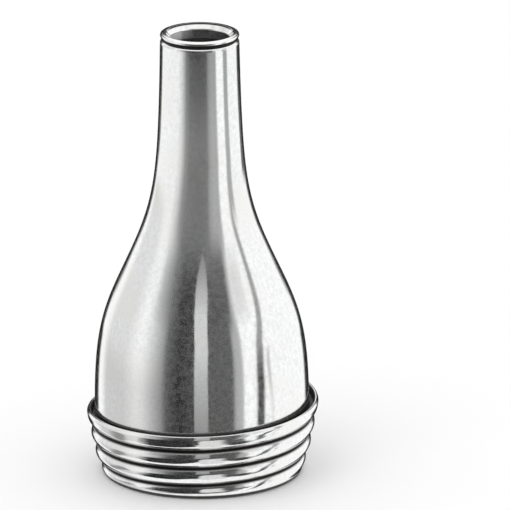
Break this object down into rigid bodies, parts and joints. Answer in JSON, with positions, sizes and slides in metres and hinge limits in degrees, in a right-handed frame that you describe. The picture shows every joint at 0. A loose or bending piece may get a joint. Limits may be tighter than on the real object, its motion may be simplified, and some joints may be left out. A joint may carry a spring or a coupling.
{
  "type": "ear speculum",
  "caption": "Screw-in ear speculum of plated metal: slender tapering neck with a rounded tip ring, smooth bell and a coarse rounded screw thread round its base.",
  "frame": {"origin": "centre of the flat base rim, on the thread's axis, where the part stands", "axes": "+Z along the axis from the wide threaded end to the small end; the front as pictured faces -Y; +X to its right"},
  "size_m": [0.0194, 0.0194, 0.038],
  "materials": {
    "funnel_plating": "polished nickel and chromium plate, fine turning lines, satin dark inside",
    "tip_plating": "bright polished bead, dulled bore",
    "collar_plating": "polished crests, darker thread roots",
    "solder": "dull grey solder, slightly lumpy"
  },
  "bodies": {
    "root": {"funnel_shell": "funnel_plating", "tip_ring": "tip_plating", "screw_collar": "collar_plating", "solder_ring": "solder"}
  },
  "joints": []
}
